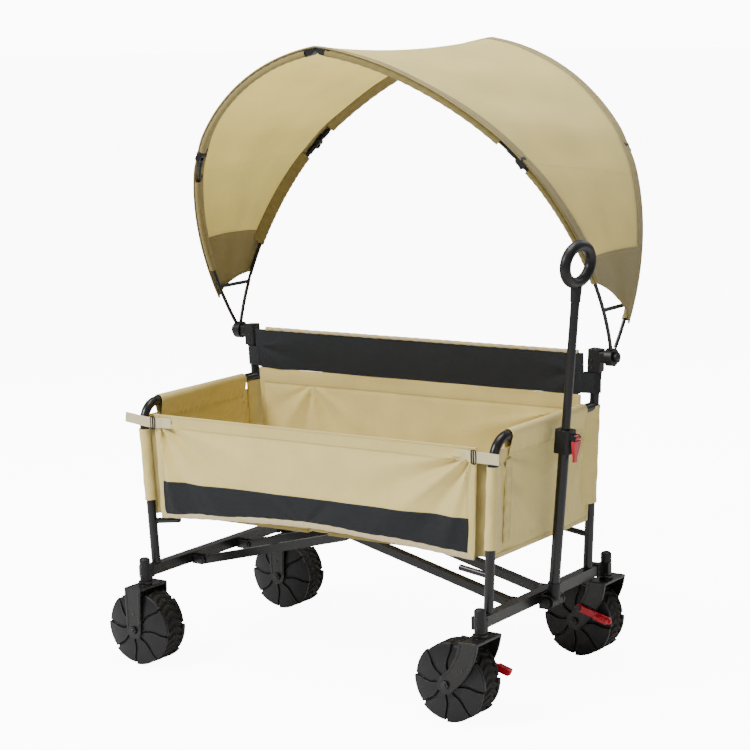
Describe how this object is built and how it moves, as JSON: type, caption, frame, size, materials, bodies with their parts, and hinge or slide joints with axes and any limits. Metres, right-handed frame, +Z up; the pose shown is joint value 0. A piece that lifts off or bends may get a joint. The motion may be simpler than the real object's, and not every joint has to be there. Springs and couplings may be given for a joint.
{
  "type": "kids pull wagon",
  "caption": "Folding four-wheel pull wagon with a fabric basket, drop-down side, high padded back, telescoping handle, foot brakes and a tilting sun canopy on two arches.",
  "frame": {"origin": "on the ground, midway between the two end frames and midway across the wagon", "axes": "+X towards the handle end, +Y towards the high back and canopy side, +Z up"},
  "size_m": [1.1578, 0.9539, 1.4615],
  "materials": {
    "black_frame": "satin powder coat",
    "black_plastic": "moulded, fine grain",
    "dark_steel": "blackened zinc",
    "wheel_plastic": "satin",
    "tyre_rubber": "matt",
    "red_plastic": "satin gloss",
    "beige_fabric": "plain weave polyester",
    "black_fabric": "plain weave polyester",
    "floor_board": "fabric over board",
    "webbing": "ribbed webbing",
    "canopy_fabric": "light weave, lets light through"
  },
  "bodies": {
    "rear_frame": {"rear_end_frame": "black_frame", "rear_stem_sockets": "black_plastic", "rear_forks": "black_frame", "rear_axles": "dark_steel", "rear_bar_brackets": "black_frame", "rear_end_panel": "beige_fabric", "far_side_panel": "beige_fabric", "back_band": "black_fabric", "rear_canopy_clamp": "black_plastic", "rear_panel_strap": "webbing"},
    "rear_bars": {"rear_fold_bars": "black_frame", "centre_rod": "dark_steel"},
    "front_bars": {"front_fold_bars": "black_frame"},
    "front_frame": {"front_end_frame": "black_frame", "front_stem_sockets": "black_plastic", "front_bar_brackets": "black_frame", "front_end_panel": "beige_fabric", "front_canopy_clamp": "black_plastic", "front_panel_strap": "webbing", "handle_bracket": "black_frame", "handle_bolt": "dark_steel"},
    "rear_floor": {"rear_floor_board": "floor_board"},
    "front_floor": {"front_floor_board": "floor_board"},
    "near_rear_wheel": {"near_rear_rim": "wheel_plastic", "near_rear_tyre": "tyre_rubber"},
    "far_rear_wheel": {"far_rear_rim": "wheel_plastic", "far_rear_tyre": "tyre_rubber"},
    "near_caster": {"near_caster_fork": "black_frame", "near_caster_axle": "dark_steel"},
    "far_caster": {"far_caster_fork": "black_frame", "far_caster_axle": "dark_steel"},
    "near_front_wheel": {"near_front_rim": "wheel_plastic", "near_front_tyre": "tyre_rubber"},
    "far_front_wheel": {"far_front_rim": "wheel_plastic", "far_front_tyre": "tyre_rubber"},
    "near_brake": {"near_brake_pedal": "red_plastic"},
    "far_brake": {"far_brake_pedal": "red_plastic"},
    "handle": {"handle_yoke": "black_plastic", "lower_handle_tube": "black_frame", "handle_collar": "black_plastic"},
    "handle_top": {"upper_handle_tube": "black_frame", "handle_grip": "black_plastic"},
    "handle_lever": {"cam_lever": "red_plastic"},
    "near_panel": {"near_side_panel": "beige_fabric"},
    "rear_canopy": {"rear_canopy_hub": "black_plastic", "rear_lower_poles": "black_frame", "rear_shoulder_joints": "black_plastic", "rear_canopy_side": "canopy_fabric"},
    "rear_canopy_top": {"rear_upper_poles": "black_frame", "rear_upper_ends": "black_plastic", "rear_canopy_top": "canopy_fabric"},
    "front_canopy": {"front_canopy_hub": "black_plastic", "front_lower_poles": "black_frame", "front_shoulder_joints": "black_plastic", "front_canopy_side": "canopy_fabric"},
    "front_canopy_top": {"front_upper_poles": "black_frame", "front_upper_ends": "black_plastic", "front_canopy_top": "canopy_fabric"}
  },
  "joints": [
    {"name": "fold", "type": "hinge", "parent": "rear_frame", "child": "rear_bars", "pos_m": [-0.428, 0, 0.211], "axis": [0, -1, 0], "range_deg": [0, 65], "deforming": ["near_side_panel", "far_side_panel", "back_band"]},
    {"name": "centre_pivot", "type": "hinge", "parent": "rear_bars", "child": "front_bars", "pos_m": [0, 0, 0.3193], "axis": [0, -1, 0], "range_deg": [-131, 1]},
    {"name": "front_bar_hinge", "type": "hinge", "parent": "front_bars", "child": "front_frame", "pos_m": [0.428, 0, 0.211], "axis": [0, -1, 0], "range_deg": [-1, 66]},
    {"name": "rear_floor_hinge", "type": "hinge", "parent": "rear_frame", "child": "rear_floor", "pos_m": [-0.455, 0, 0.352], "axis": [0, -1, 0], "range_deg": [-1, 84.2]},
    {"name": "front_floor_hinge", "type": "hinge", "parent": "front_frame", "child": "front_floor", "pos_m": [0.455, 0, 0.352], "axis": [0, 1, 0], "range_deg": [-1, 84.2]},
    {"name": "near_rear_spin", "type": "hinge", "parent": "rear_frame", "child": "near_rear_wheel", "pos_m": [-0.454, -0.287, 0.09], "axis": [0, 1, 0], "continuous": true},
    {"name": "far_rear_spin", "type": "hinge", "parent": "rear_frame", "child": "far_rear_wheel", "pos_m": [-0.454, 0.287, 0.09], "axis": [0, 1, 0], "continuous": true},
    {"name": "near_swivel", "type": "hinge", "parent": "front_frame", "child": "near_caster", "pos_m": [0.486, -0.287, 0.2], "axis": [0, 0, 1], "continuous": true},
    {"name": "far_swivel", "type": "hinge", "parent": "front_frame", "child": "far_caster", "pos_m": [0.486, 0.287, 0.2], "axis": [0, 0, 1], "continuous": true},
    {"name": "near_front_spin", "type": "hinge", "parent": "near_caster", "child": "near_front_wheel", "pos_m": [0.426, -0.287, 0.09], "axis": [0, 1, 0], "continuous": true},
    {"name": "far_front_spin", "type": "hinge", "parent": "far_caster", "child": "far_front_wheel", "pos_m": [0.426, 0.287, 0.09], "axis": [0, 1, 0], "continuous": true},
    {"name": "near_brake_press", "type": "hinge", "parent": "near_caster", "child": "near_brake", "pos_m": [0.442, -0.23, 0.126], "axis": [0, 1, 0], "range_deg": [0, 18]},
    {"name": "far_brake_press", "type": "hinge", "parent": "far_caster", "child": "far_brake", "pos_m": [0.442, 0.23, 0.126], "axis": [0, 1, 0], "range_deg": [0, 18]},
    {"name": "handle_swing", "type": "hinge", "parent": "front_frame", "child": "handle", "pos_m": [0.504, 0, 0.209], "axis": [0, 1, 0], "range_deg": [0, 80]},
    {"name": "handle_slide", "type": "slide", "parent": "handle", "child": "handle_top", "axis": [0.0958, 0, 0.9954], "range_m": [-0.24, 0.04]},
    {"name": "lever_flip", "type": "hinge", "parent": "handle", "child": "handle_lever", "pos_m": [0.56768, 0, 0.58864], "axis": [0, -1, 0], "range_deg": [0, 100]},
    {"name": "panel_drop", "type": "hinge", "parent": "rear_frame", "child": "near_panel", "pos_m": [0, -0.23, 0.346], "axis": [1, 0, 0], "range_deg": [0, 100]},
    {"name": "canopy_tilt", "type": "hinge", "parent": "rear_frame", "child": "rear_canopy", "pos_m": [-0.53, 0.225, 0.735], "axis": [-1, 0, 0], "range_deg": [0, 35]},
    {"name": "front_canopy_tilt", "type": "hinge", "parent": "front_frame", "child": "front_canopy", "pos_m": [0.53, 0.225, 0.735], "axis": [-1, 0, 0], "range_deg": [-1, 36]},
    {"name": "rear_shoulder", "type": "hinge", "parent": "rear_canopy", "child": "rear_canopy_top", "pos_m": [-0.447, 0.225, 1.20157], "axis": [0, -1, 0], "range_deg": [-1, 50.66]},
    {"name": "front_shoulder", "type": "hinge", "parent": "front_canopy", "child": "front_canopy_top", "pos_m": [0.447, 0.225, 1.20157], "axis": [0, 1, 0], "range_deg": [-1, 50.66]}
  ],
  "couplings": [
    {"joint": "centre_pivot", "follows": "fold", "ratio": -2},
    {"joint": "front_bar_hinge", "follows": "fold", "ratio": 1},
    {"joint": "rear_floor_hinge", "follows": "fold", "ratio": 1.28},
    {"joint": "front_floor_hinge", "follows": "fold", "ratio": 1.28},
    {"joint": "rear_shoulder", "follows": "fold", "ratio": 0.764},
    {"joint": "front_shoulder", "follows": "fold", "ratio": 0.764},
    {"joint": "front_canopy_tilt", "follows": "canopy_tilt", "ratio": 1}
  ]
}
